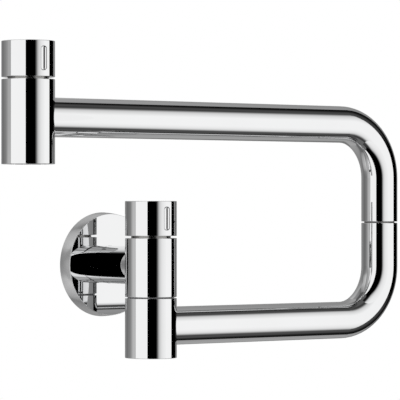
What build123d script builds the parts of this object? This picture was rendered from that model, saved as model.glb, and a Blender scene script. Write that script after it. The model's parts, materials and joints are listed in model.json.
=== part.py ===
"""Wall mounted pot filler with two folding arms and two shut-off valves.

Millimetres, +Z up. The wall is the plane y = 0 and the tap stands out from it along -Y.
The origin is the mouth of the water inlet, in the middle of the flange's back.
Two round columns carry the valves: the main column by the wall, and the outlet column at the
end of the folded upper arm. The arms lie one above the other, parallel to the wall.
"""

import math
import os

from build123d import *

# Outer sizes
body_diameter = 35.0  # all four turned sections and both knobs
tube_diameter = 26.0
tube_wall = 1.5
bend_radius = 38.0  # centre line of both bends
column_to_wall = 55.0  # wall to the main column's axis
lower_reach = 208.0  # main column's axis to the joint's axis
upper_reach = 309.0  # joint's axis to the outlet column's axis
arm_spacing = 139.3  # between the centre lines of the two arms
edge_round = 0.4  # broken edges of the turned sections

# Wall flange
flange_diameter = 71.6
flange_depth = 10.0
flange_plate = 2.5
flange_rim = 4.0
flange_crown = 1.0  # how much the curved rim narrows, wall to front
flange_crown_middle = 0.36  # the same, half way
flange_round = 0.3
flange_seal_width = 2.5
flange_seal_thickness = 1.5
hub_wall = 4.0
hub_depth = 4.5
slip_clearance = 0.05  # flange hub over the stub

# Water inlet, G1/2 female
inlet_thread_diameter = 18.63
inlet_thread_length = 12.0
inlet_stop_diameter = 14.0
inlet_stop_length = 2.5

# Fits
running_clearance = 0.05  # radial, turning pieces
face_clearance = 0.05  # axial, turning pieces
seal_section = 1.6  # thickness of every O-ring

# Sockets that the tubes are brazed into
socket_lap = 0.7  # how far the tube's end passes the point where it leaves the column
socket_web = 0.5  # metal between the socket and the valve chamber
port_width = 9.0
port_margin = 1.0

# Ceramic valve, the same in both columns
inlet_drop = 18.6  # valve body's top to the inlet's axis
outlet_arm_drop = 24.5  # outlet body's top to the upper arm's axis
nut_thread_length = 10.6
collar_height = 3.0
barrel_length = 14.0
water_gap = 2.5  # round the barrel
barrel_wall = 1.0
barrel_cap = 2.0
neck_step = 1.5
neck_wall = 2.45
neck_length = 8.0
window_width = 8.0
window_height = 5.5
seat_seal_thickness = 2.0
disc_thickness = 2.5
disc_play = 0.3
disc_port_radius = 3.9  # where the kidney ports run
disc_port_width = 3.0
disc_port_angle = 60.0
valve_port_diameter = 10.0
seat_web = 3.1  # floor under the valve chamber
driver_width = 5.0
clip_thickness = 0.8
clip_grip = 0.8
clip_width = 1.8
nut_inset = 4.1  # nut's head inside the column's outline
nut_head_height = 3.2
nut_hole_play = 0.8
notch_width = 3.0
notch_depth = 1.4
notch_count = 4

# Knobs
knob_height = 23.5
knob_gap = 1.4
knob_cavity_depth = 7.0
knob_cavity_play = 0.8
tang_step = 0.5
tang_length = 9.0
tang_play = 0.6
rib_width = 4.1
rib_height = 16.3
rib_rise = 2.0
grub_diameter = 4.0
grub_length = 6.0
grub_hex = 2.0
grub_hex_depth = 2.5

# Swivel under the valve body
swivel_gap = 0.8
spigot_thread_length = 9.0
spigot_thread_step = 1.0
spigot_bore_diameter = 10.0
spigot_end = 3.0
spigot_hole_diameter = 7.0
upper_land = 9.1
lower_land = 6.4
chamber_margin = 1.5
thrust_washer_thickness = 0.8
retaining_ring_thickness = 1.0
retaining_grip = 0.8
spigot_tail = 0.8
tail_clearance = 0.45
cap_thickness = 1.7
cap_step = 1.0
recess_wall = 3.5
recess_play = 1.0
swivel_washer_inset = 1.75

# Joint between the arms
joint_gap = 0.9
bush_wall = 2.45
bush_length = 24.0
joint_root_length = 14.0
joint_bore_wall = 2.5
joint_washer_inset = 2.1
snap_ring_thickness = 1.2
snap_ring_rise = 1.0
snap_ring_play = 0.35
snap_ring_height = 4.5  # above the bush's lower end
joint_tail = 1.5

# Outlet
throat_length = 14.7
throat_top_diameter = 10.0
aerator_diameter = 24.0
aerator_depth = 10.0
aerator_wall = 2.0
aerator_recess = 0.4
aerator_lip = 1.2
aerator_seal_thickness = 1.5
aerator_seal_width = 2.6
jet_plate_thickness = 5.0
jet_diameter = 1.8
jet_ring_radii = (3.3, 6.8)
jet_ring_counts = (6, 12)

# Worked out from the sizes above
body_radius = body_diameter / 2
tube_radius = tube_diameter / 2
tube_bore = tube_radius - tube_wall
column_y = -column_to_wall
socket_face = math.sqrt(body_radius**2 - tube_radius**2) - socket_lap

chamber_radius = socket_face - socket_web
barrel_radius = chamber_radius - water_gap
disc_bore = barrel_radius - barrel_wall
neck_radius = barrel_radius - neck_step
stem_radius = neck_radius - neck_wall - running_clearance
tang_radius = stem_radius - tang_step
chamber_depth = nut_thread_length + collar_height + barrel_length
nut_head_radius = body_radius - nut_inset
knob_cavity_radius = nut_head_radius + knob_cavity_play

main_top = inlet_drop
main_bottom = main_top - chamber_depth - seat_web - spigot_thread_length
sleeve_top = main_bottom - swivel_gap
chamber_half = tube_bore - chamber_margin
lower_arm_z = sleeve_top - upper_land - chamber_half
lower_land_bottom = lower_arm_z - chamber_half - lower_land
thrust_washer_bottom = lower_land_bottom - face_clearance - thrust_washer_thickness
ring_bottom = thrust_washer_bottom - retaining_ring_thickness
spigot_bottom = ring_bottom - spigot_tail
cap_top = spigot_bottom - tail_clearance
sleeve_bottom = cap_top - cap_thickness
spigot_radius = barrel_radius
recess_radius = body_radius - recess_wall

upper_arm_z = lower_arm_z + arm_spacing
joint_x = lower_reach
joint_middle = (lower_arm_z + upper_arm_z) / 2
joint_lower_face = joint_middle - joint_gap / 2
joint_upper_face = joint_middle + joint_gap / 2
pin_radius = tube_bore - bush_wall - running_clearance
bush_bottom = joint_lower_face - bush_length
snap_ring_level = bush_bottom + snap_ring_height

outlet_x = lower_reach - upper_reach
outlet_top = upper_arm_z + outlet_arm_drop
outlet_seat = outlet_top - chamber_depth
outlet_throat_bottom = outlet_seat - seat_web - throat_length
outlet_bottom = outlet_throat_bottom - aerator_depth
aerator_radius = aerator_diameter / 2

# Valves: name, column's x, top of the valve's body
valves = (("main", 0.0, main_top), ("outlet", outlet_x, outlet_top))


def level(column_x, height):
    """Horizontal plane on a column's axis."""
    return Plane((column_x, column_y, height))


def half_section(column_x, height):
    """Upright plane through a column's axis: x is the radius and y the height."""
    return Plane((column_x, column_y, height), x_dir=(1, 0, 0), z_dir=(0, -1, 0))


def column_axis(column_x):
    return Axis((column_x, column_y, 0), (0, 0, 1))


def turn(column_x, height, outline, mode=Mode.ADD):
    """Turn a closed outline of (radius, height) points about a column."""
    with BuildSketch(half_section(column_x, height)) as half:
        with BuildLine():
            Polyline(*outline, close=True)
        make_face()
    revolve(half.sketch, axis=column_axis(column_x), mode=mode)


def ring(plane, outer, inner, height):
    """Flat ring that stands on a plane."""
    with BuildPart() as piece:
        with BuildSketch(plane):
            Circle(outer)
            Circle(inner, mode=Mode.SUBTRACT)
        extrude(amount=height)
    return piece


def bore(plane, radius, depth):
    """Cut a round hole along a plane's normal."""
    with BuildSketch(plane) as circle:
        Circle(radius)
    extrude(circle.sketch, amount=depth, mode=Mode.SUBTRACT)


def seal_groove(column_x, height, outer):
    """Cut an O-ring's groove into a pin or collar."""
    low = -seal_section / 2
    high = seal_section / 2
    floor = outer - seal_section
    clear = outer + seal_section
    turn(column_x, height, ((floor, low), (clear, low), (clear, high), (floor, high)), Mode.SUBTRACT)


def o_ring(column_x, height, outer):
    """O-ring in a groove, as thick as the groove is deep."""
    with BuildSketch(half_section(column_x, height)) as section:
        with Locations((outer - seal_section / 2, 0)):
            Circle(seal_section / 2)
    revolve(section.sketch, axis=column_axis(column_x))


def round_rims(piece, radius):
    """Break the outer edges at the two ends of a turned section."""
    rims = piece.edges().filter_by(GeomType.CIRCLE).group_by(SortBy.RADIUS)[-1]
    fillet(rims, radius)


def tube_socket(plane):
    """Cut the socket of a tube; the plane lies on the column's axis and faces along the tube."""
    bore(plane.offset(socket_face), tube_radius, body_radius)


def valve_port(plane, seat):
    """Cut the slot that joins a socket and the valve chamber, beside the valve's barrel."""
    middle = Plane((plane.origin.X, plane.origin.Y, seat + barrel_length / 2), x_dir=(0, 0, 1), z_dir=plane.z_dir)
    with BuildSketch(middle) as slot:
        SlotOverall(barrel_length - 2 * port_margin, port_width)
    extrude(slot.sketch, amount=socket_face + socket_lap, mode=Mode.SUBTRACT)


def kidney_ports(plane, turned_by):
    """Cut the two kidney-shaped water ports of a ceramic disc."""
    for side in (0, 180):
        with BuildLine() as middle:
            CenterArc((0, 0), disc_port_radius, side + turned_by - disc_port_angle / 2, disc_port_angle)
        with BuildSketch(plane) as port:
            SlotArc(middle.edges()[0], disc_port_width)
        extrude(port.sketch, amount=disc_thickness, mode=Mode.SUBTRACT)


# Wall side -----------------------------------------------------------------------------------

wall_section = Plane((0, 0, 0), x_dir=(0, 0, 1), z_dir=(1, 0, 0))  # x is the radius, y the depth
into_room = Plane((0, 0, 0), x_dir=(1, 0, 0), z_dir=(0, -1, 0))
stub_length = column_to_wall - socket_face


def make_flange():
    """Cover plate: a shallow cup with a rebate for its seal and a hub round the stub."""
    outer = flange_diameter / 2
    rim_inner = outer - flange_rim
    hole = tube_radius + slip_clearance
    hub = hole + hub_wall
    plate_back = flange_depth - flange_plate
    hub_back = plate_back - hub_depth
    groove_middle = plate_back - hub_depth / 2
    with BuildPart() as flange:
        with BuildSketch(wall_section):
            with BuildLine():
                ThreePointArc(
                    (outer, 0),
                    (outer - flange_crown_middle, flange_depth / 2),
                    (outer - flange_crown, flange_depth),
                )
                Polyline(
                    (outer - flange_crown, flange_depth),
                    (hole, flange_depth),
                    (hole, hub_back),
                    (hub, hub_back),
                    (hub, plate_back),
                    (rim_inner, plate_back),
                    (rim_inner, flange_seal_thickness),
                    (rim_inner + flange_seal_width, flange_seal_thickness),
                    (rim_inner + flange_seal_width, 0),
                    (outer, 0),
                )
            make_face()
        revolve(axis=Axis.Y)
        with BuildSketch(wall_section):
            with Locations((tube_radius + seal_section / 2, groove_middle)):
                Rectangle(seal_section, seal_section)
        revolve(axis=Axis.Y, mode=Mode.SUBTRACT)
        front_rim = flange.edges().filter_by(GeomType.CIRCLE).group_by(Axis.Y)[0].sort_by(SortBy.RADIUS)[-1]
        fillet(front_rim, flange_round)
    with BuildPart() as grip_ring:
        with BuildSketch(wall_section):
            with Locations((tube_radius + seal_section / 2, groove_middle)):
                Circle(seal_section / 2)
        revolve(axis=Axis.Y)
    seal = ring(into_room, rim_inner + flange_seal_width, rim_inner, flange_seal_thickness)
    return flange, grip_ring, seal


def make_inlet_insert():
    """Bush with the inlet's thread and a stop for the end of the wall nipple."""
    with BuildPart() as insert:
        with BuildSketch(into_room):
            Circle(tube_bore)
        extrude(amount=inlet_thread_length + inlet_stop_length)
        bore(into_room, inlet_thread_diameter / 2, inlet_thread_length)
        bore(into_room, inlet_stop_diameter / 2, inlet_thread_length + inlet_stop_length)
    return insert


wall_flange, flange_grip_ring, flange_seal = make_flange()
inlet_insert = make_inlet_insert()
inlet_stub = ring(into_room, tube_radius, tube_bore, stub_length)


# Valve, once for each column -----------------------------------------------------------------


def make_cartridge_housing(column_x, seat):
    """Barrel with two water windows, a collar with a seal and a neck that guides the stem."""
    collar_bottom = barrel_length
    collar_top = barrel_length + collar_height
    neck_top = collar_top + neck_length
    cap_bottom = barrel_length - barrel_cap
    guide = stem_radius + running_clearance
    with BuildPart() as housing:
        turn(
            column_x,
            seat,
            (
                (disc_bore, 0),
                (barrel_radius, 0),
                (barrel_radius, collar_bottom),
                (chamber_radius, collar_bottom),
                (chamber_radius, collar_top),
                (neck_radius, collar_top),
                (neck_radius, neck_top),
                (guide, neck_top),
                (guide, cap_bottom),
                (disc_bore, cap_bottom),
            ),
        )
        seal_groove(column_x, seat + collar_bottom + collar_height / 2, chamber_radius)
        window_middle = seat + cap_bottom - port_margin - window_height / 2
        with BuildSketch(Plane((column_x, column_y, window_middle), x_dir=(0, 1, 0), z_dir=(1, 0, 0))):
            RectangleRounded(window_width, window_height, port_margin)
        extrude(amount=barrel_radius, both=True, mode=Mode.SUBTRACT)
    return housing


def make_disc(column_x, height, radius, thickness, turned_by):
    """Ceramic disc with two kidney ports."""
    with BuildPart() as disc:
        with BuildSketch(level(column_x, height)):
            Circle(radius)
        extrude(amount=thickness)
        kidney_ports(level(column_x, height), turned_by)
    return disc


def make_spindle(column_x, seat, top):
    """Stem with a driver bar on the turning disc and a tang in the knob."""
    bar_bottom = seat_seal_thickness + 2 * disc_thickness
    bar_top = barrel_length - barrel_cap - face_clearance
    clip_bottom = barrel_length + collar_height + neck_length + face_clearance
    shoulder = top + knob_gap + knob_cavity_depth - seat
    with BuildPart() as spindle:
        turn(
            column_x,
            seat,
            (
                (0, bar_bottom),
                (stem_radius, bar_bottom),
                (stem_radius, clip_bottom),
                (stem_radius - clip_grip, clip_bottom),
                (stem_radius - clip_grip, clip_bottom + clip_thickness),
                (stem_radius, clip_bottom + clip_thickness),
                (stem_radius, shoulder),
                (tang_radius, shoulder),
                (tang_radius, shoulder + tang_length),
                (0, shoulder + tang_length),
            ),
        )
        with BuildSketch(level(column_x, seat + bar_bottom)):
            SlotOverall(2 * (disc_bore - disc_play), driver_width)
        extrude(amount=bar_top - bar_bottom)
    clip_plane = level(column_x, seat + clip_bottom)
    clip = ring(clip_plane, stem_radius - clip_grip + clip_width, stem_radius - clip_grip, clip_thickness)
    return spindle, clip


def make_retaining_nut(column_x, top):
    """Screwed collar with spanner notches; its head stands in the gap under the knob."""
    hole = neck_radius + nut_hole_play
    with BuildPart() as nut:
        turn(
            column_x,
            top,
            (
                (hole, -nut_thread_length),
                (chamber_radius, -nut_thread_length),
                (chamber_radius, 0),
                (nut_head_radius, 0),
                (nut_head_radius, nut_head_height),
                (hole, nut_head_height),
            ),
        )
        with BuildSketch(level(column_x, top + nut_head_height - notch_depth)):
            with PolarLocations(nut_head_radius, notch_count):
                Rectangle(notch_width * 2, notch_width)
        extrude(amount=notch_depth, mode=Mode.SUBTRACT)
    return nut


def make_knob(column_x, top):
    """Turned knob, hollow over the nut, with a half-round rib on its face and a grub screw behind."""
    bottom = top + knob_gap
    ceiling = bottom + knob_cavity_depth
    rib_middle = bottom + knob_height / 2
    grub_level = ceiling + tang_length / 2
    rib_radius = rib_width / 2
    rib_y = column_y - body_radius - rib_rise + rib_radius
    rib_plane = Plane((column_x, rib_y, rib_middle), x_dir=(1, 0, 0), z_dir=(0, -1, 0))
    with BuildPart() as knob:
        with BuildSketch(level(column_x, bottom)):
            Circle(body_radius)
        extrude(amount=knob_height)
        round_rims(knob, edge_round)
        with BuildSketch(rib_plane) as rib_half:
            SlotOverall(rib_height, rib_width, rotation=90)
            Rectangle(rib_radius, rib_height, align=(Align.MAX, Align.CENTER), mode=Mode.SUBTRACT)
        revolve(rib_half.sketch, axis=Axis(rib_plane.origin, (0, 0, 1)))
        bore(level(column_x, bottom), knob_cavity_radius, knob_cavity_depth)
        bore(level(column_x, ceiling), tang_radius, tang_length + tang_play)
        back = Plane((column_x, column_y, grub_level), x_dir=(1, 0, 0), z_dir=(0, 1, 0))
        bore(back.offset(tang_radius), grub_diameter / 2, body_radius)
    with BuildPart() as grub:
        with BuildSketch(back.offset(tang_radius)):
            Circle(grub_diameter / 2)
        extrude(amount=grub_length)
        with BuildSketch(back.offset(tang_radius + grub_length - grub_hex_depth)):
            RegularPolygon(grub_hex / 2, 6, major_radius=False)
        extrude(amount=grub_hex_depth, mode=Mode.SUBTRACT)
    return knob, grub


pieces = {}
for name, column_x, top in valves:
    seat = top - chamber_depth
    fixed_level = seat + seat_seal_thickness
    turning_level = fixed_level + disc_thickness + face_clearance
    pieces[name + "_cartridge_housing"] = make_cartridge_housing(column_x, seat)
    seal_inner = valve_port_diameter / 2
    pieces[name + "_seat_seal"] = ring(level(column_x, seat), disc_bore, seal_inner, seat_seal_thickness)
    pieces[name + "_fixed_disc"] = make_disc(column_x, fixed_level, disc_bore, disc_thickness, 0)
    turning_radius = disc_bore - disc_play
    turning_thickness = disc_thickness - face_clearance
    pieces[name + "_turning_disc"] = make_disc(column_x, turning_level, turning_radius, turning_thickness, 90)
    with BuildPart() as collar_seal:
        o_ring(column_x, seat + barrel_length + collar_height / 2, chamber_radius)
    pieces[name + "_collar_seal"] = collar_seal
    spindle, clip = make_spindle(column_x, seat, top)
    pieces[name + "_spindle"] = spindle
    pieces[name + "_spindle_clip"] = clip
    pieces[name + "_retaining_nut"] = make_retaining_nut(column_x, top)
    knob, grub = make_knob(column_x, top)
    pieces[name + "_knob"] = knob
    pieces[name + "_knob_screw"] = grub


# Main column ---------------------------------------------------------------------------------

main_seat = main_top - chamber_depth
stub_plane = Plane((0, column_y, 0), x_dir=(1, 0, 0), z_dir=(0, 1, 0))
lower_arm_plane = Plane((0, column_y, lower_arm_z), x_dir=(0, 1, 0), z_dir=(1, 0, 0))
thread_radius = spigot_radius + spigot_thread_step

with BuildPart() as valve_body:
    with BuildSketch(level(0, main_bottom)):
        Circle(body_radius)
    extrude(amount=main_top - main_bottom)
    round_rims(valve_body, edge_round)
    tube_socket(stub_plane)
    bore(level(0, main_seat), chamber_radius, chamber_depth)
    valve_port(stub_plane, main_seat)
    bore(level(0, main_bottom), thread_radius, spigot_thread_length)
    bore(level(0, main_bottom), valve_port_diameter / 2, spigot_thread_length + seat_web)

upper_seal_levels = (sleeve_top - upper_land / 3, sleeve_top - upper_land * 2 / 3)
lower_seal_level = lower_land_bottom + lower_land / 2
swivel_seal_levels = (*upper_seal_levels, lower_seal_level)

with BuildPart() as swivel_spigot:
    turn(
        0,
        0,
        (
            (0, spigot_bottom),
            (spigot_radius, spigot_bottom),
            (spigot_radius, ring_bottom),
            (spigot_radius - retaining_grip, ring_bottom),
            (spigot_radius - retaining_grip, thrust_washer_bottom),
            (spigot_radius, thrust_washer_bottom),
            (spigot_radius, main_bottom),
            (thread_radius, main_bottom),
            (thread_radius, main_bottom + spigot_thread_length),
            (0, main_bottom + spigot_thread_length),
        ),
    )
    for seal_level in swivel_seal_levels:
        seal_groove(0, seal_level, spigot_radius)
    bore_bottom = lower_arm_z - chamber_half + spigot_end
    bore(level(0, bore_bottom), spigot_bore_diameter / 2, main_bottom + spigot_thread_length - bore_bottom)
    for facing in ((1, 0, 0), (0, 1, 0)):
        with BuildSketch(Plane((0, column_y, lower_arm_z), z_dir=facing)):
            Circle(spigot_hole_diameter / 2)
        extrude(amount=spigot_radius, both=True, mode=Mode.SUBTRACT)

with BuildPart() as swivel_seals:
    for seal_level in swivel_seal_levels:
        o_ring(0, seal_level, spigot_radius)

swivel_washer = ring(
    level(0, sleeve_top + face_clearance),
    body_radius - swivel_washer_inset,
    spigot_radius,
    swivel_gap - face_clearance,
)
swivel_thrust_washer = ring(
    level(0, thrust_washer_bottom),
    recess_radius - recess_play,
    spigot_radius,
    thrust_washer_thickness,
)
swivel_retaining_ring = ring(
    level(0, ring_bottom),
    recess_radius - 2 * recess_play,
    spigot_radius - retaining_grip,
    retaining_ring_thickness,
)

with BuildPart() as swivel_sleeve:
    with BuildSketch(level(0, sleeve_bottom)):
        Circle(body_radius)
    extrude(amount=sleeve_top - sleeve_bottom)
    round_rims(swivel_sleeve, edge_round)
    tube_socket(lower_arm_plane)
    bore(level(0, sleeve_bottom), spigot_radius + running_clearance, sleeve_top - sleeve_bottom)
    bore(level(0, lower_arm_z - chamber_half), chamber_radius, 2 * chamber_half)
    bore(level(0, sleeve_bottom), recess_radius, lower_land_bottom - sleeve_bottom)
    bore(level(0, sleeve_bottom), recess_radius + cap_step, cap_thickness)
    with BuildSketch(lower_arm_plane):
        Circle(chamber_half)
    extrude(amount=socket_face, mode=Mode.SUBTRACT)

with BuildPart() as sleeve_cap:
    with BuildSketch(level(0, sleeve_bottom)):
        Circle(recess_radius + cap_step)
    extrude(amount=cap_thickness)
    chamfer(sleeve_cap.edges().group_by(Axis.Z)[0], edge_round)


# Arms and their joint ------------------------------------------------------------------------


def make_arm_tube(column_x, arm_z, end_z):
    """Bent tube from a column's socket to the joint."""
    with BuildPart() as tube:
        with BuildLine(half_section(0, 0)) as route:
            FilletPolyline(
                (column_x + socket_face, arm_z),
                (joint_x, arm_z),
                (joint_x, end_z),
                radius=bend_radius,
            )
        with BuildSketch(Plane(route.line @ 0, z_dir=route.line % 0)):
            Circle(tube_radius)
            Circle(tube_bore, mode=Mode.SUBTRACT)
        sweep(path=route.line)
        end_rim = tube.edges().group_by(Axis.Z)[0 if end_z < arm_z else -1].sort_by(SortBy.RADIUS)[-1]
        fillet(end_rim, edge_round)
    return tube


lower_arm_tube = make_arm_tube(0, lower_arm_z, joint_lower_face)
upper_arm_tube = make_arm_tube(outlet_x, upper_arm_z, joint_upper_face)

joint_seal_levels = (
    joint_lower_face - bush_length / 4,
    joint_lower_face - bush_length / 2,
)
snap_ring_outer = pin_radius + snap_ring_rise
snap_ring_inner = pin_radius - snap_ring_rise

with BuildPart() as joint_bush:
    turn(
        joint_x,
        0,
        (
            (pin_radius + running_clearance, bush_bottom),
            (tube_bore, bush_bottom),
            (tube_bore, joint_lower_face),
            (pin_radius + running_clearance, joint_lower_face),
            (pin_radius + running_clearance, snap_ring_level + snap_ring_thickness + snap_ring_play),
            (snap_ring_outer + snap_ring_play, snap_ring_level + snap_ring_thickness + snap_ring_play),
            (snap_ring_outer + snap_ring_play, snap_ring_level - snap_ring_play),
            (pin_radius + running_clearance, snap_ring_level - snap_ring_play),
        ),
    )

with BuildPart() as joint_spigot:
    pin_bottom = bush_bottom - joint_tail
    pin_bore = pin_radius - joint_bore_wall
    turn(
        joint_x,
        0,
        (
            (pin_bore, pin_bottom),
            (pin_radius, pin_bottom),
            (pin_radius, snap_ring_level),
            (snap_ring_inner, snap_ring_level),
            (snap_ring_inner, snap_ring_level + snap_ring_thickness),
            (pin_radius, snap_ring_level + snap_ring_thickness),
            (pin_radius, joint_upper_face),
            (tube_bore, joint_upper_face),
            (tube_bore, joint_upper_face + joint_root_length),
            (pin_bore, joint_upper_face + joint_root_length),
        ),
    )
    for seal_level in joint_seal_levels:
        seal_groove(joint_x, seal_level, pin_radius)

with BuildPart() as joint_seals:
    for seal_level in joint_seal_levels:
        o_ring(joint_x, seal_level, pin_radius)

joint_washer = ring(
    level(joint_x, joint_lower_face + face_clearance),
    tube_radius - joint_washer_inset,
    pin_radius,
    joint_gap - face_clearance,
)
joint_snap_ring = ring(
    level(joint_x, snap_ring_level),
    snap_ring_outer,
    snap_ring_inner,
    snap_ring_thickness,
)


# Outlet column -------------------------------------------------------------------------------

upper_arm_plane = Plane((outlet_x, column_y, upper_arm_z), x_dir=(0, 1, 0), z_dir=(1, 0, 0))

with BuildPart() as outlet_body:
    with BuildSketch(level(outlet_x, outlet_bottom)):
        Circle(body_radius)
    extrude(amount=outlet_top - outlet_bottom)
    round_rims(outlet_body, edge_round)
    tube_socket(upper_arm_plane)
    bore(level(outlet_x, outlet_seat), chamber_radius, chamber_depth)
    valve_port(upper_arm_plane, outlet_seat)
    bore(level(outlet_x, outlet_bottom), aerator_radius, aerator_depth)
    turn(
        outlet_x,
        0,
        (
            (0, outlet_throat_bottom),
            (aerator_radius - aerator_seal_width, outlet_throat_bottom),
            (throat_top_diameter / 2, outlet_seat - seat_web),
            (valve_port_diameter / 2, outlet_seat),
            (0, outlet_seat),
        ),
        Mode.SUBTRACT,
    )

aerator_seal = ring(
    level(outlet_x, outlet_throat_bottom - aerator_seal_thickness),
    aerator_radius,
    aerator_radius - aerator_seal_width,
    aerator_seal_thickness,
)

aerator_top = outlet_throat_bottom - aerator_seal_thickness
aerator_bottom = outlet_bottom + aerator_recess
aerator_inner = aerator_radius - aerator_wall

with BuildPart() as aerator_housing:
    turn(
        outlet_x,
        0,
        (
            (aerator_inner, aerator_top),
            (aerator_radius, aerator_top),
            (aerator_radius, aerator_bottom),
            (aerator_inner - aerator_lip, aerator_bottom),
            (aerator_inner - aerator_lip, aerator_bottom + aerator_lip),
            (aerator_inner, aerator_bottom + aerator_lip),
        ),
    )

with BuildPart() as aerator_insert:
    plate_plane = level(outlet_x, aerator_bottom + aerator_lip)
    with BuildSketch(plate_plane):
        Circle(aerator_inner)
        Circle(jet_diameter / 2, mode=Mode.SUBTRACT)
        for radius, count in zip(jet_ring_radii, jet_ring_counts):
            with PolarLocations(radius, count):
                Circle(jet_diameter / 2, mode=Mode.SUBTRACT)
    extrude(amount=jet_plate_thickness)


# Files ---------------------------------------------------------------------------------------

pieces |= {
    "wall_flange": wall_flange,
    "flange_grip_ring": flange_grip_ring,
    "flange_seal": flange_seal,
    "inlet_insert": inlet_insert,
    "inlet_stub": inlet_stub,
    "valve_body": valve_body,
    "swivel_spigot": swivel_spigot,
    "swivel_seals": swivel_seals,
    "swivel_washer": swivel_washer,
    "swivel_thrust_washer": swivel_thrust_washer,
    "swivel_retaining_ring": swivel_retaining_ring,
    "swivel_sleeve": swivel_sleeve,
    "sleeve_cap": sleeve_cap,
    "lower_arm_tube": lower_arm_tube,
    "joint_bush": joint_bush,
    "upper_arm_tube": upper_arm_tube,
    "joint_spigot": joint_spigot,
    "joint_seals": joint_seals,
    "joint_washer": joint_washer,
    "joint_snap_ring": joint_snap_ring,
    "outlet_body": outlet_body,
    "aerator_seal": aerator_seal,
    "aerator_housing": aerator_housing,
    "aerator_insert": aerator_insert,
}

os.makedirs("parts", exist_ok=True)
for name, piece in pieces.items():
    piece.part.label = name
    export_step(piece.part, f"parts/{name}.step")

tube_section = math.pi * (tube_radius**2 - tube_bore**2)
for tube in (lower_arm_tube, upper_arm_tube):
    print(tube.part.label, "length", round(tube.part.volume / tube_section, 2))
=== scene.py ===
"""Looks of the wall mounted pot filler: finishes, the cut inlet thread, studio and camera."""

import json
import math

import bmesh
import bpy
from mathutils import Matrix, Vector


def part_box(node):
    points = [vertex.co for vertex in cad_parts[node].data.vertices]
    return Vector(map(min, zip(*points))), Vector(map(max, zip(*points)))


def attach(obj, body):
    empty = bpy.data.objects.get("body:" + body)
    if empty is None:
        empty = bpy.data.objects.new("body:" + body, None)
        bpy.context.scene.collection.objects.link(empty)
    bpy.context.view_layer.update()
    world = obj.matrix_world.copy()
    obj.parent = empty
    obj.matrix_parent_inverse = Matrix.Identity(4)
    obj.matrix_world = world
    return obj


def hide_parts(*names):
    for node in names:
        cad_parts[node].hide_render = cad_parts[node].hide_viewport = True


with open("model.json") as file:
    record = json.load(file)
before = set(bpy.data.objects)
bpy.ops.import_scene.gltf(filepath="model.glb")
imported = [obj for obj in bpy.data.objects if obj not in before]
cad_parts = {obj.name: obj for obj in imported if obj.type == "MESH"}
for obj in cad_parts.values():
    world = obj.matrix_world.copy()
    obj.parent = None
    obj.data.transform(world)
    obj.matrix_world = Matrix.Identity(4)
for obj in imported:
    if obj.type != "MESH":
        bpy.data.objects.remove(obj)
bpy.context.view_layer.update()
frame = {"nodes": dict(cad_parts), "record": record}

# Lengths are in metres, in the tap's own frame, and roughnesses are the shader's own.

# Camera: level, looking at the tap from the left
VIEW_ANGLE = math.radians(38.67)  # turned from the wall's normal towards +X
CAMERA_DISTANCE = 1.932  # along the view, from the middle of the flange's back
CAMERA_SIDE = 0.0675  # to the right of it
CAMERA_HEIGHT = 0.0389  # above it
SENSOR_WIDTH = 36.0  # millimetres
LENS = 252.08  # millimetres
SHIFT_UP = 0.0197  # share of the picture's width
SIGHT_ENDS = 100.0

# Film left by handling, on every metal
PATCH_EDGE = 0.42  # noise below this leaves the metal clean
PATCH_MIDDLE = 0.72
STREAK_TURN = (0.4, 0.9, 0.3)
STREAK_STRETCH = (1.0, 1.0, 0.16)
FILM_THICKEST = 0.7

# Chrome
CHROME_CLEAN = (0.885, 0.888, 0.892)
CHROME_FILMED = (0.862, 0.865, 0.868)
CHROME_FILM = {"Patch_Scale": 24.0, "Streak_Scale": 170.0, "Cleanest": 0.006, "Dullest": 0.02}

# Flange rim
RIM_STARTS = 0.0344  # radius at which the polished face turns into the rim
RIM_CHANGE = 0.0002  # width of the change from polished to satin
RIM_SATIN = 0.14
RIM_FILMED = 0.06  # rougher by this under the thickest film

# Turned and moulded pieces
BRASS_DARK = (0.62, 0.42, 0.17)
BRASS_LIGHT = (0.78, 0.57, 0.27)
BRASS_PITCH = 0.00035
RING_UNEVENNESS = 0.6
RING_DRIFT = 0.37  # how fast the rings' depth changes from one to the next
TURNED_FILMED = 0.14  # rougher by this under the thickest film
GRAIN_SHARE = 0.6
WAVE_SHARE = 0.4
GRAIN_LOW = 0.3
GRAIN_HIGH = 0.7

# Inlet thread, G1/2: 14 turns to the inch
THREAD_PITCH = 0.001814
THREAD_RADIUS = 0.009315  # over the crests
THREAD_DEPTH = 0.001162
THREAD_END = 0.012
STOP_RADIUS = 0.007
LEAD_IN = 0.0013  # chamfer at the mouth
BUSH_CHAMFER = 0.0003
BUSH_SHARP = math.radians(40)  # edges above this stay sharp
THREAD_SIDES = 72
STEPS_PER_TURN = 14

# Studio, seen from above: each corner is (to the right, towards the camera) of the main column
COLUMN = Vector((0.0, -0.055))
CORNER_LEFT = (-0.80, -0.08)
CORNER_LEFT_FRONT = (-0.36, 0.145)
CORNER_CAMERA_LEFT = (-0.145, 0.58)
CORNER_CAMERA_RIGHT = (0.34, 0.70)
CORNER_RIGHT_FRONT = (0.62, 0.22)
CORNER_RIGHT = (1.10, -0.275)
CORNER_RIGHT_BACK = (0.73, -0.91)
CORNER_BACK = (0.0, -1.10)
CORNER_LEFT_BACK = (-0.90, -0.70)
PANEL_FRONT = (1.06, 0.75)
PANEL_BACK = (1.96, -0.75)
CARD_LOW = -2.38
CARD_HIGH = 2.38
LID_RADIUS = 2.6
LID_SIDES = 12

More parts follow.
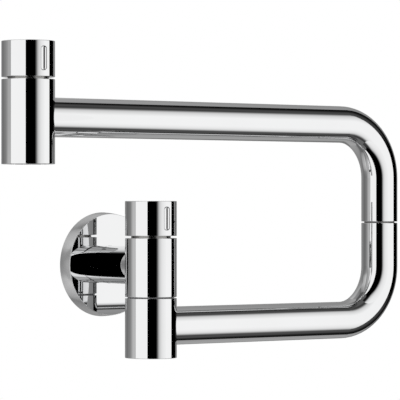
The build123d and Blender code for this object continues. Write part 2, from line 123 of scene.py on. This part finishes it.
# Plain light, lamp and floor
DULL_LIGHT = 0.75  # the world's strength for pieces that don't mirror it
LAMP_SIZE = 1.6
LAMP_WATTS = 20.0
LAMP_CORNER = (-0.9, 1.6)
LAMP_HEIGHT = 2.0
LAMP_AIM = Vector((0.05, -0.05, 0.0))
FLOOR_LEVEL = -2.40
FLOOR_RADIUS = 9.0
FLOOR_SIDES = 96
FLOOR_COLOUR = (0.93, 0.93, 0.93, 1)
FLOOR_ROUGHNESS = 0.9


# Small helpers -------------------------------------------------------------------------------


def add_object(name, data):
    """Put a new object with its data into the scene."""
    added = bpy.data.objects.new(name, data)
    bpy.context.scene.collection.objects.link(added)
    return added


def turns_round(sides):
    """Angles of the corners of a regular outline."""
    return [2 * math.pi * k / sides for k in range(sides)]


def blank_material(name):
    """Node material that holds only its output."""
    material = bpy.data.materials.new(name)
    material.use_nodes = True
    nodes = material.node_tree.nodes
    nodes.clear()
    output = nodes.new("ShaderNodeOutputMaterial")
    return material, nodes, material.node_tree.links, output


def new_material(name):
    """Node material with a Principled BSDF on its output."""
    material, nodes, links, output = blank_material(name)
    shader = nodes.new("ShaderNodeBsdfPrincipled")
    links.new(shader.outputs["BSDF"], output.inputs["Surface"])
    return material, nodes, links, shader


def new_group(name, inputs, outputs):
    """Empty node group; inputs are (name, default), outputs are names, all plain values."""
    group = bpy.data.node_groups.new(name, "ShaderNodeTree")
    for socket, default in inputs:
        made = group.interface.new_socket(socket, in_out="INPUT", socket_type="NodeSocketFloat")
        made.default_value = default
    for socket in outputs:
        group.interface.new_socket(socket, in_out="OUTPUT", socket_type="NodeSocketFloat")
    entry = group.nodes.new("NodeGroupInput")
    leave = group.nodes.new("NodeGroupOutput")
    return group, group.nodes, group.links, entry, leave


def place_group(nodes, group, **values):
    """Put a shared effect into a material, with its own values."""
    node = nodes.new("ShaderNodeGroup")
    node.node_tree = group
    for name, value in values.items():
        node.inputs[name.replace("_", " ")].default_value = value
    return node


def feed(links, socket, value):
    """Set an input to a number, or link it to an output."""
    if isinstance(value, (int, float)):
        socket.default_value = value
    else:
        links.new(value, socket)


def object_place(nodes):
    """Place of each point in the tap's frame."""
    return nodes.new("ShaderNodeTexCoord").outputs["Object"]


def take_apart(nodes, links, place):
    """The X, Y and Z of a place."""
    apart = nodes.new("ShaderNodeSeparateXYZ")
    links.new(place, apart.inputs["Vector"])
    return apart.outputs


def noise(nodes, links, place, scale, detail=2.0, roughness=0.5):
    """Noise texture at a place; its scale is a number or an output."""
    texture = nodes.new("ShaderNodeTexNoise")
    texture.inputs["Detail"].default_value = detail
    texture.inputs["Roughness"].default_value = roughness
    links.new(place, texture.inputs["Vector"])
    feed(links, texture.inputs["Scale"], scale)
    return texture.outputs["Fac"]


def spread(nodes, links, value, low, high, from_low=0.0, from_high=1.0):
    """Map a value onto a range; the range's ends are numbers or outputs."""
    mapped = nodes.new("ShaderNodeMapRange")
    links.new(value, mapped.inputs["Value"])
    mapped.inputs["From Min"].default_value = from_low
    mapped.inputs["From Max"].default_value = from_high
    feed(links, mapped.inputs["To Min"], low)
    feed(links, mapped.inputs["To Max"], high)
    return mapped.outputs["Result"]


def math_node(nodes, links, operation, *values):
    """Math node on one or two numbers or outputs."""
    node = nodes.new("ShaderNodeMath")
    node.operation = operation
    for socket, value in zip(node.inputs, values):
        feed(links, socket, value)
    return node.outputs["Value"]


def shade_between(nodes, links, shader, mask, first, second):
    """Base colour between two near shades, chosen by a mask."""
    mix = nodes.new("ShaderNodeMix")
    mix.data_type = "RGBA"
    mix.inputs["A"].default_value = (*first, 1)
    mix.inputs["B"].default_value = (*second, 1)
    links.new(mask, mix.inputs["Factor"])
    links.new(mix.outputs["Result"], shader.inputs["Base Color"])


def raise_surface(nodes, links, shader, height, depth):
    """Bump of a depth, from a height between 0 and 1."""
    bump = nodes.new("ShaderNodeBump")
    bump.inputs["Strength"].default_value = 1.0
    bump.inputs["Distance"].default_value = depth
    links.new(height, bump.inputs["Height"])
    links.new(bump.outputs["Normal"], shader.inputs["Normal"])


# Effects that several finishes share -----------------------------------------------------------


def handling_film():
    """Faint film left by wiping and handling: soft patches with fine wipe streaks in them."""
    inputs = (("Patch Scale", 22.0), ("Streak Scale", 160.0), ("Cleanest", 0.02), ("Dullest", 0.06))
    outputs = ("Roughness", "Film")
    group, nodes, links, entry, leave = new_group("handling_film", inputs, outputs)
    place = object_place(nodes)
    patches = noise(nodes, links, place, entry.outputs["Patch Scale"], 3.0)
    patches = spread(nodes, links, patches, 0.0, 1.0, PATCH_EDGE, PATCH_MIDDLE)
    tilt = nodes.new("ShaderNodeMapping")
    tilt.inputs["Rotation"].default_value = STREAK_TURN
    tilt.inputs["Scale"].default_value = STREAK_STRETCH
    links.new(place, tilt.inputs["Vector"])
    streaks = noise(nodes, links, tilt.outputs["Vector"], entry.outputs["Streak Scale"], 4.0, 0.65)
    film = math_node(nodes, links, "MULTIPLY", patches, streaks)
    cleanest, dullest = entry.outputs["Cleanest"], entry.outputs["Dullest"]
    rough = spread(nodes, links, film, cleanest, dullest, 0.0, FILM_THICKEST)
    links.new(rough, leave.inputs["Roughness"])
    links.new(film, leave.inputs["Film"])
    return group


def lathe_marks():
    """Fine turned rings of uneven depth; Lying, 0 to 1, turns their axis to the wall's normal."""
    inputs = (("Pitch", 0.0004), ("Unevenness", 0.6), ("Lying", 0.0))
    group, nodes, links, entry, leave = new_group("lathe_marks", inputs, ("Height", "Tone"))
    apart = take_apart(nodes, links, object_place(nodes))
    along = spread(nodes, links, entry.outputs["Lying"], apart["Z"], apart["Y"])
    turns = math_node(nodes, links, "DIVIDE", along, entry.outputs["Pitch"])
    wave = math_node(nodes, links, "SINE", math_node(nodes, links, "MULTIPLY", turns, 2 * math.pi))
    level = spread(nodes, links, wave, 0.0, 1.0, -1.0, 1.0)
    rings = nodes.new("ShaderNodeCombineXYZ")
    links.new(turns, rings.inputs["Z"])
    depth = noise(nodes, links, rings.outputs["Vector"], RING_DRIFT)
    uneven = math_node(nodes, links, "MULTIPLY", depth, entry.outputs["Unevenness"])
    full = math_node(nodes, links, "SUBTRACT", 1.0, uneven)
    links.new(math_node(nodes, links, "MULTIPLY", level, full), leave.inputs["Height"])
    links.new(depth, leave.inputs["Tone"])
    return group


def moulded_grain():
    """Grain of moulded or pressed parts: a fine skin over slow, weak waves."""
    inputs = (("Grain Scale", 4000.0), ("Wave Scale", 120.0))
    group, nodes, links, entry, leave = new_group("moulded_grain", inputs, ("Height", "Tone"))
    place = object_place(nodes)
    fine = noise(nodes, links, place, entry.outputs["Grain Scale"], 3.0, 0.6)
    slow = noise(nodes, links, place, entry.outputs["Wave Scale"])
    skin = math_node(nodes, links, "MULTIPLY", fine, GRAIN_SHARE)
    waves = math_node(nodes, links, "MULTIPLY", slow, WAVE_SHARE)
    links.new(math_node(nodes, links, "ADD", skin, waves), leave.inputs["Height"])
    links.new(slow, leave.inputs["Tone"])
    return group


FILM = handling_film()
MARKS = lathe_marks()
GRAIN = moulded_grain()


# Finishes ------------------------------------------------------------------------------------


def chrome_plate(name):
    """Chrome, a hint cool, with the faintest film; its roughness is still to be linked."""
    material, nodes, links, shader = new_material(name)
    shader.inputs["Metallic"].default_value = 1.0
    film = place_group(nodes, FILM, **CHROME_FILM)
    shade_between(nodes, links, shader, film.outputs["Film"], CHROME_CLEAN, CHROME_FILMED)
    return material, nodes, links, shader, film


def polished_chrome():
    """Bright chrome plate, mirror clear."""
    material, nodes, links, shader, film = chrome_plate("polished_chrome")
    links.new(film.outputs["Roughness"], shader.inputs["Roughness"])
    return material


def flange_chrome():
    """Chrome of the flange: its face polished, its rim left satin from the lathe."""
    material, nodes, links, shader, film = chrome_plate("flange_chrome")
    apart = take_apart(nodes, links, object_place(nodes))
    flat = nodes.new("ShaderNodeCombineXYZ")
    links.new(apart["X"], flat.inputs["X"])
    links.new(apart["Z"], flat.inputs["Z"])
    radius = nodes.new("ShaderNodeVectorMath")
    radius.operation = "LENGTH"
    links.new(flat.outputs["Vector"], radius.inputs[0])
    radius = radius.outputs["Value"]
    rim = spread(nodes, links, radius, 0.0, 1.0, RIM_STARTS, RIM_STARTS + RIM_CHANGE)
    rim_end = RIM_SATIN + RIM_FILMED
    satin = spread(nodes, links, film.outputs["Film"], RIM_SATIN, rim_end, 0.0, FILM_THICKEST)
    mix = nodes.new("ShaderNodeMix")
    links.new(rim, mix.inputs["Factor"])
    links.new(film.outputs["Roughness"], mix.inputs["A"])
    links.new(satin, mix.inputs["B"])
    links.new(mix.outputs["Result"], shader.inputs["Roughness"])
    return material


def turned_metal(name, dark, light, pitch, depth, roughness, lying=0.0):
    """Lathe-turned metal with its rings left on."""
    material, nodes, links, shader = new_material(name)
    shader.inputs["Metallic"].default_value = 1.0
    marks = place_group(nodes, MARKS, Pitch=pitch, Unevenness=RING_UNEVENNESS, Lying=lying)
    dullest = roughness + TURNED_FILMED
    film = place_group(
        nodes, FILM, Patch_Scale=60.0, Streak_Scale=300.0, Cleanest=roughness, Dullest=dullest
    )
    shade_between(nodes, links, shader, marks.outputs["Tone"], dark, light)
    links.new(film.outputs["Roughness"], shader.inputs["Roughness"])
    raise_surface(nodes, links, shader, marks.outputs["Height"], depth)
    return material


def moulded(name, dark, light, grain, waves, depth, smoothest, dullest):
    """Moulded plastic, rubber or pressed ceramic, by its grain."""
    material, nodes, links, shader = new_material(name)
    grains = place_group(nodes, GRAIN, Grain_Scale=grain, Wave_Scale=waves)
    height = grains.outputs["Height"]
    shade_between(nodes, links, shader, grains.outputs["Tone"], dark, light)
    rough = spread(nodes, links, height, smoothest, dullest, GRAIN_LOW, GRAIN_HIGH)
    links.new(rough, shader.inputs["Roughness"])
    raise_surface(nodes, links, shader, height, depth)
    return material


finishes = {
    "chrome": polished_chrome(),
    "brass": turned_metal(
        "turned_brass", BRASS_DARK, BRASS_LIGHT,
        pitch=BRASS_PITCH, depth=0.00001, roughness=0.22,
    ),
    "ceramic": moulded(
        "lapped_ceramic", (0.86, 0.85, 0.81), (0.93, 0.92, 0.89),
        grain=9000.0, waves=200.0, depth=0.000002, smoothest=0.12, dullest=0.22,
    ),
    "rubber": moulded(
        "seal_rubber", (0.022, 0.022, 0.023), (0.045, 0.044, 0.043),
        grain=5000.0, waves=150.0, depth=0.00002, smoothest=0.5, dullest=0.7,
    ),
    "steel": turned_metal(
        "spring_steel", (0.5, 0.5, 0.51), (0.64, 0.64, 0.65),
        pitch=0.0002, depth=0.000004, roughness=0.28,
    ),
    "slide_plastic": moulded(
        "slide_plastic", (0.24, 0.24, 0.25), (0.31, 0.31, 0.32),
        grain=4000.0, waves=120.0, depth=0.00001, smoothest=0.4, dullest=0.55,
    ),
    "jet_plastic": moulded(
        "jet_plastic", (0.56, 0.57, 0.58), (0.68, 0.69, 0.7),
        grain=4000.0, waves=140.0, depth=0.00001, smoothest=0.38, dullest=0.52,
    ),
}
# Darker nickel of the retaining nuts: its low tone is painted shade for the narrow gaps where the
# nuts show.
nut_nickel_painted_shade = turned_metal(
    "nut_nickel_painted_shade", (0.3, 0.3, 0.29), (0.38, 0.37, 0.36),
    pitch=0.0003, depth=0.000004, roughness=0.2,
)
own_finishes = {
    "wall_flange": flange_chrome(),
    "main_retaining_nut": nut_nickel_painted_shade,
    "outlet_retaining_nut": nut_nickel_painted_shade,
}
for subpart in frame["record"]["subparts"]:
    finish = own_finishes.get(subpart["node"], finishes[subpart["material_slot"]])
    mesh = frame["nodes"][subpart["node"]].data
    mesh.materials.clear()
    mesh.materials.append(finish)


# Inlet thread ----------------------------------------------------------------------------------


def thread_radius(depth, turn):
    """Radius of the threaded bore at a depth into the tap and an angle round it."""
    phase = (depth / THREAD_PITCH - turn / (2 * math.pi)) % 1.0
    flank = 1.0 - abs(2.0 * phase - 1.0)
    rounded = flank * flank * (3.0 - 2.0 * flank)
    run_out = min(1.0, max(0.0, (THREAD_END - depth) / THREAD_PITCH))
    mouth = THREAD_RADIUS + LEAD_IN - depth
    return max(THREAD_RADIUS + THREAD_DEPTH * rounded * run_out, mouth)


def bush_rings(outer, length):
    """Radius and depth of the bush's points, ring by ring: outside, thread, then stop."""
    turns = turns_round(THREAD_SIDES)
    steps = round(THREAD_END / THREAD_PITCH * STEPS_PER_TURN)
    depths = [THREAD_END * k / steps for k in range(steps + 1)]
    outside = ((outer, length), (outer, BUSH_CHAMFER), (outer - BUSH_CHAMFER, 0.0))
    stop = ((STOP_RADIUS, THREAD_END), (STOP_RADIUS, length))
    rings = [[point] * THREAD_SIDES for point in outside]
    rings += [[(thread_radius(depth, turn), depth) for turn in turns] for depth in depths]
    rings += [[point] * THREAD_SIDES for point in stop]
    return rings


def threaded_bush():
    """Brass bush of the water inlet, its right-hand thread cut down to a stop for the nipple."""
    low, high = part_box("inlet_insert")
    rings = bush_rings((high[0] - low[0]) / 2, high[1] - low[1])
    points = [
        (radius * math.cos(turn), -depth, radius * math.sin(turn))
        for ring in rings
        for (radius, depth), turn in zip(ring, turns_round(THREAD_SIDES))
    ]
    faces = []
    for ring in range(len(rings)):
        here = ring * THREAD_SIDES
        there = (ring + 1) % len(rings) * THREAD_SIDES
        for k in range(THREAD_SIDES):
            ahead = (k + 1) % THREAD_SIDES
            faces.append((here + k, here + ahead, there + ahead, there + k))
    mesh = bpy.data.meshes.new("threaded_bush")
    mesh.from_pydata(points, [], faces)
    work = bmesh.new()
    work.from_mesh(mesh)
    bmesh.ops.recalc_face_normals(work, faces=work.faces)
    work.to_mesh(mesh)
    work.free()
    mesh.shade_smooth()
    mesh.set_sharp_from_angle(angle=BUSH_SHARP)
    finish = turned_metal(
        "inlet_brass", BRASS_DARK, BRASS_LIGHT,
        pitch=BRASS_PITCH, depth=0.000004, roughness=0.2, lying=1.0,
    )
    mesh.materials.append(finish)
    bush = add_object("threaded_bush", mesh)
    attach(bush, "wall_mount")
    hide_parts("inlet_insert")


threaded_bush()


# Studio --------------------------------------------------------------------------------------


def studio_point(corner, height):
    """Place a studio corner in the tap's frame."""
    right, front = corner
    side = Vector((math.cos(VIEW_ANGLE), -math.sin(VIEW_ANGLE)))
    towards = Vector((-math.sin(VIEW_ANGLE), -math.cos(VIEW_ANGLE)))
    plan = COLUMN + side * right + towards * front
    return Vector((plan.x, plan.y, height))


def tones(*stops):
    """Brightness stops given as position, level, position, level ..."""
    return tuple(zip(stops[0::2], stops[1::2]))


def even(level):
    """The same brightness all along."""
    return tones(0.0, level, 1.0, level)


def card_finish(name, across, upward):
    """Light of a studio card: brightness stops across it times stops up it."""
    material, nodes, links, output = blank_material(name)
    glow = nodes.new("ShaderNodeEmission")
    apart = take_apart(nodes, links, nodes.new("ShaderNodeUVMap").outputs["UV"])
    levels = []
    for socket, stops in (("X", across), ("Y", upward)):
        ramp = nodes.new("ShaderNodeValToRGB")
        elements = ramp.color_ramp.elements
        while len(elements) < len(stops):
            elements.new(0.5)
        for element, (position, level) in zip(elements, stops):
            element.position = position
            element.color = (level, level, level, 1)
        links.new(apart[socket], ramp.inputs["Fac"])
        levels.append(ramp.outputs["Color"])
    links.new(math_node(nodes, links, "MULTIPLY", *levels), glow.inputs["Strength"])
    links.new(glow.outputs["Emission"], output.inputs["Surface"])
    return material


def hang_card(name, corners, places, finish):
    """Card seen only in the metal's reflections; places are its corners' own coordinates."""
    mesh = bpy.data.meshes.new(name)
    mesh.from_pydata(corners, [], [tuple(range(len(corners)))])
    layer = mesh.uv_layers.new(name="card")
    for loop, place in zip(layer.data, places):
        loop.uv = place
    mesh.materials.append(finish)
    card = add_object(name, mesh)
    card.visible_camera = False
    card.visible_diffuse = False
    card.visible_shadow = False
    card.visible_transmission = False


def studio_card(name, start, end, across, upward=()):
    """Upright card between two corners; stops across it run from 0 to 1, stops up it by height."""
    corners = [
        studio_point(start, CARD_LOW),
        studio_point(end, CARD_LOW),
        studio_point(end, CARD_HIGH),
        studio_point(start, CARD_HIGH),
    ]
    places = ((0, 0), (1, 0), (1, 1), (0, 1))
    tall = CARD_HIGH - CARD_LOW
    stops = [((height - CARD_LOW) / tall, level) for height, level in tones(*upward)]
    hang_card(name, corners, places, card_finish(name, across, stops or even(1.0)))


def studio_lid(name, height, level):
    """Level card that closes the studio above or below."""
    rim = [(math.cos(turn), math.sin(turn)) for turn in turns_round(LID_SIDES)]
    corners = [studio_point((LID_RADIUS * x, LID_RADIUS * y), height) for x, y in rim]
    places = [(0.5 + 0.5 * x, 0.5 + 0.5 * y) for x, y in rim]
    hang_card(name, corners, places, card_finish(name, even(1.0), even(level)))


studio_card(
    "card_left_back",
    CORNER_LEFT_BACK,
    CORNER_LEFT,
    tones(0.0, 0.75, 0.5, 0.95, 0.8, 1.05, 1.0, 1.4),
    (
        -2.38, 0.2, -0.9, 0.45, -0.5, 0.5, -0.3, 0.43, -0.17, 0.25, 0.03, 0.19,
        0.23, 0.25, 0.35, 0.43, 0.5, 0.5, 0.9, 0.5, 1.2, 0.4, 2.38, 0.2,
    ),
)
studio_card(
    "card_left",
    CORNER_LEFT,
    CORNER_LEFT_FRONT,
    tones(0.0, 0.30, 0.12, 0.36, 0.3, 0.42, 0.456, 0.46, 0.66, 0.54, 1.0, 0.54),
    (
        -1.0, 0.5, -0.5, 0.9, 0.01, 1.0, 0.06, 0.95,
        0.105, 0.79, 0.18, 0.76, 0.5, 0.76, 1.0, 0.6,
    ),
)
studio_card("card_left_front", CORNER_LEFT_FRONT, CORNER_CAMERA_LEFT, tones(0.0, 1.0, 1.0, 0.98))
studio_card("card_camera", CORNER_CAMERA_LEFT, CORNER_CAMERA_RIGHT, even(0.0))
studio_card(
    "panel_front",
    CORNER_CAMERA_RIGHT,
    CORNER_RIGHT_FRONT,
    tones(0.0, 0.01, 0.1, 0.08, 0.2, 0.28, 0.3, 0.54, 0.4, 0.68, 0.6, 0.86, 0.8, 0.93, 1.0, 0.97),
    (
        -1.15, 0.05, -1.02, 0.1, -0.93, 0.22, -0.85, 0.5, -0.77, 0.75, -0.68, 0.87,
        -0.55, 0.95, -0.4, 1.0, 0.5, 1.0, 0.65, 0.89, 0.75, 0.8, 0.84, 0.7,
        0.92, 0.5, 1.0, 0.22, 1.08, 0.1, 1.2, 0.01,
    ),
)
studio_card(
    "panel_right",
    PANEL_FRONT,
    PANEL_BACK,
    even(1.0),
    (
        -1.76, 0.05, -1.624, 0.096, -1.449, 0.217, -1.274, 0.518, -1.084, 0.756, -0.907, 0.87,
        -0.67, 0.95, -0.45, 1.0, 0.45, 1.0, 0.676, 0.89, 0.811, 0.82, 0.986, 0.74,
        1.144, 0.64, 1.302, 0.4, 1.473, 0.177, 1.61, 0.082, 1.76, 0.05,
    ),
)
studio_card(
    "card_right",
    CORNER_RIGHT,
    CORNER_RIGHT_BACK,
    tones(0.0, 1.0, 0.24, 0.9, 0.36, 0.65, 0.48, 0.35, 0.6, 0.1, 1.0, 0.1),
    (-0.9, 0.08, -0.3, 0.06, -0.15, 0.0, 0.25, 0.0, 0.4, 0.05, 1.0, 0.07),
)
studio_card(
    "card_back_right",
    CORNER_RIGHT_BACK,
    CORNER_BACK,
    tones(0.0, 0.27, 1.0, 0.32),
    (
        -2.38, 1.25, -0.58, 1.25, -0.42, 0.65, -0.2, 0.6, -0.05, 0.9,
        0.6, 0.95, 0.85, 1.05, 1.1, 1.18, 2.38, 1.2,
    ),
)
studio_card(
    "card_back_left",
    CORNER_BACK,
    CORNER_LEFT_BACK,
    tones(0.0, 0.30, 0.6, 0.24, 1.0, 0.16),
    (
        -2.38, 0.8, -1.4, 1.2, -0.7, 1.2, -0.3, 1.0, 0.3, 1.0,
        0.5, 1.4, 0.7, 1.7, 1.0, 1.7, 1.2, 1.0, 2.38, 0.8,
    ),
)
studio_lid("card_above", CARD_HIGH, 0.1)
studio_lid("card_below", CARD_LOW, 0.14)


def white_world():
    """Even light for the dull pieces; the camera and the metal see plain white."""
    world = bpy.data.worlds.new("white_world")
    world.use_nodes = True
    nodes = world.node_tree.nodes
    links = world.node_tree.links
    sky = nodes["Background"]
    sky.inputs["Color"].default_value = (1, 1, 1, 1)
    path = nodes.new("ShaderNodeLightPath").outputs
    seen = math_node(nodes, links, "MAXIMUM", path["Is Camera Ray"], path["Is Glossy Ray"])
    seen = math_node(nodes, links, "MAXIMUM", seen, path["Is Transmission Ray"])
    links.new(spread(nodes, links, seen, DULL_LIGHT, 1.0), sky.inputs["Strength"])
    bpy.context.scene.world = world


def soft_lamp():
    """Large soft lamp above and to the left, for the shadows alone."""
    data = bpy.data.lights.new("soft_lamp", "AREA")
    data.shape = "DISK"
    data.size = LAMP_SIZE
    data.energy = LAMP_WATTS
    lamp = add_object("soft_lamp", data)
    lamp.location = studio_point(LAMP_CORNER, LAMP_HEIGHT)
    lamp.rotation_euler = (LAMP_AIM - lamp.location).to_track_quat("-Z", "Y").to_euler()
    lamp.visible_glossy = False


def studio_floor():
    """Plain pale floor, below the tap."""
    mesh = bpy.data.meshes.new("floor")
    rim = [
        (FLOOR_RADIUS * math.cos(turn), FLOOR_RADIUS * math.sin(turn), FLOOR_LEVEL)
        for turn in turns_round(FLOOR_SIDES)
    ]
    mesh.from_pydata(rim, [], [tuple(range(FLOOR_SIDES))])
    material, nodes, links, shader = new_material("pale_floor")
    shader.inputs["Base Color"].default_value = FLOOR_COLOUR
    shader.inputs["Roughness"].default_value = FLOOR_ROUGHNESS
    shader.inputs["Specular IOR Level"].default_value = 0.0
    mesh.materials.append(material)
    floor = add_object("floor", mesh)


def set_camera():
    """Level camera at the photograph's angle, a long way off."""
    data = bpy.data.cameras.new("camera")
    data.sensor_width = SENSOR_WIDTH
    data.lens = LENS
    data.shift_y = SHIFT_UP
    data.clip_end = SIGHT_ENDS
    camera = add_object("camera", data)
    along = Vector((math.sin(VIEW_ANGLE), math.cos(VIEW_ANGLE), 0))
    side = Vector((math.cos(VIEW_ANGLE), -math.sin(VIEW_ANGLE), 0))
    up = Vector((0, 0, 1))
    camera.location = side * CAMERA_SIDE - along * CAMERA_DISTANCE + up * CAMERA_HEIGHT
    camera.rotation_euler = (math.pi / 2, 0, -VIEW_ANGLE)
    bpy.context.scene.camera = camera


white_world()
soft_lamp()
studio_floor()
set_camera()
bpy.context.scene.view_settings.view_transform = "Standard"
